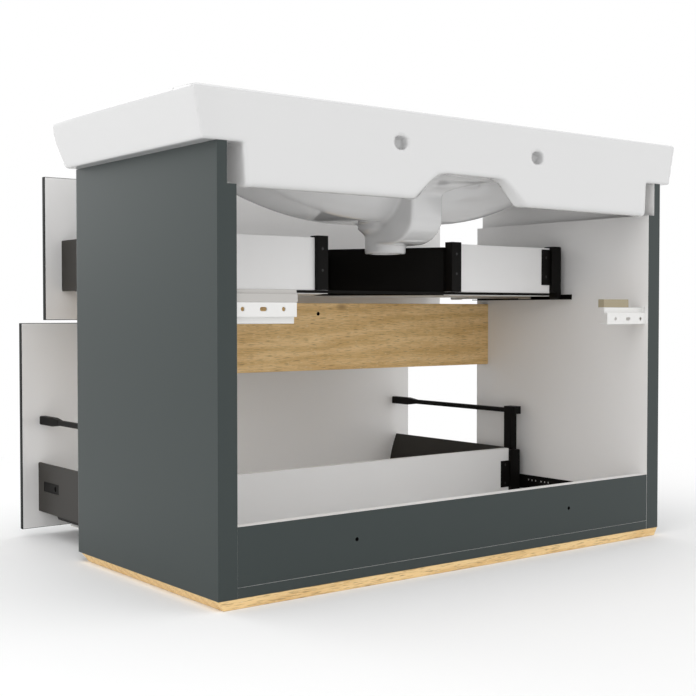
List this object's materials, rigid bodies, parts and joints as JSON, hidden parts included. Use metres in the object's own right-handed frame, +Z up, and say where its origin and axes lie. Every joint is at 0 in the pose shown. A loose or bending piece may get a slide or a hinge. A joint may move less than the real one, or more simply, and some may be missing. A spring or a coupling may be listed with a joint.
{
  "type": "vanity unit",
  "caption": "Wall-hung vanity cabinet with two drawers on runners, a ceramic washbasin on top, an oak base and rail, and hanger brackets inside.",
  "frame": {"origin": "centre of the base board's underside, midway between the sides and between the front and rear edges of the side panels", "axes": "+X to the right seen from the front, +Y towards the wall, +Z up; the drawers slide towards -Y"},
  "size_m": [1.005, 0.698, 0.702],
  "materials": {
    "slate_board": "satin slate lacquer, white inside",
    "slate_front": "satin slate lacquer, white inner face",
    "oak": "natural oak grain, matte",
    "beech": "plain turned beech",
    "ceramic": "white gloss glaze",
    "white_steel": "white powder coat",
    "packing_block": "beige grey packing block",
    "runner_steel": "black coat, satin",
    "screw_steel": "zinc plated",
    "nylon": "dark nylon",
    "drawer_steel": "brown black powder coat",
    "white_board": "white melamine, matte",
    "black_screw": "black oxide",
    "black_plastic": "black moulded plastic, fine grain"
  },
  "bodies": {
    "cabinet": {"left_side_panel": "slate_board", "right_side_panel": "slate_board", "bottom_panel": "slate_board", "base_board": "oak", "rear_rail": "slate_board", "front_rail": "oak", "dowels": "beech", "washbasin": "ceramic", "left_hanger_bracket": "white_steel", "right_hanger_bracket": "white_steel", "left_hanger_block": "packing_block", "right_hanger_block": "packing_block", "hanger_screws": "screw_steel", "left_upper_cabinet_runner": "runner_steel", "right_upper_cabinet_runner": "runner_steel", "left_lower_cabinet_runner": "runner_steel", "right_lower_cabinet_runner": "runner_steel", "runner_screws": "screw_steel"},
    "upper_runner_middle": {"upper_left_middle_rail": "runner_steel", "upper_right_middle_rail": "runner_steel", "upper_rail_sliders": "nylon"},
    "lower_runner_middle": {"lower_left_middle_rail": "runner_steel", "lower_right_middle_rail": "runner_steel", "lower_rail_sliders": "nylon"},
    "upper_drawer": {"upper_left_drawer_rail": "runner_steel", "upper_right_drawer_rail": "runner_steel", "upper_left_drawer_side": "drawer_steel", "upper_right_drawer_side": "drawer_steel", "upper_front_fixings": "black_plastic", "upper_left_rear_bracket": "drawer_steel", "upper_right_rear_bracket": "drawer_steel", "upper_drawer_bottom": "white_board", "siphon_recess": "black_plastic", "left_recess_post": "black_plastic", "right_recess_post": "black_plastic", "upper_left_back_panel": "white_board", "upper_right_back_panel": "white_board", "upper_drawer_screws": "black_screw", "upper_edge_strip": "black_plastic", "upper_front": "slate_front"},
    "lower_drawer": {"lower_left_drawer_rail": "runner_steel", "lower_right_drawer_rail": "runner_steel", "lower_left_drawer_side": "drawer_steel", "lower_right_drawer_side": "drawer_steel", "lower_adjusters": "black_plastic", "lower_front_fixings": "black_plastic", "lower_left_rear_bracket": "drawer_steel", "lower_right_rear_bracket": "drawer_steel", "lower_drawer_bottom": "white_board", "lower_back_panel": "white_board", "lower_drawer_screws": "black_screw", "lower_front": "slate_front", "left_gallery_post": "black_plastic", "right_gallery_post": "black_plastic", "left_gallery_rail": "drawer_steel", "right_gallery_rail": "drawer_steel", "left_gallery_connector": "black_plastic", "right_gallery_connector": "black_plastic"}
  },
  "joints": [
    {"name": "upper_drawer_slide", "type": "slide", "parent": "cabinet", "child": "upper_drawer", "axis": [0, -1, 0], "range_m": [-0.137, 0.113]},
    {"name": "lower_drawer_slide", "type": "slide", "parent": "cabinet", "child": "lower_drawer", "axis": [0, -1, 0], "range_m": [-0.243, 0.157]},
    {"name": "upper_runner_slide", "type": "slide", "parent": "cabinet", "child": "upper_runner_middle", "axis": [0, -1, 0], "range_m": [-0.0685, 0.0565]},
    {"name": "lower_runner_slide", "type": "slide", "parent": "cabinet", "child": "lower_runner_middle", "axis": [0, -1, 0], "range_m": [-0.1215, 0.0785]}
  ],
  "couplings": [
    {"joint": "upper_runner_slide", "follows": "upper_drawer_slide", "ratio": 0.5},
    {"joint": "lower_runner_slide", "follows": "lower_drawer_slide", "ratio": 0.5}
  ]
}
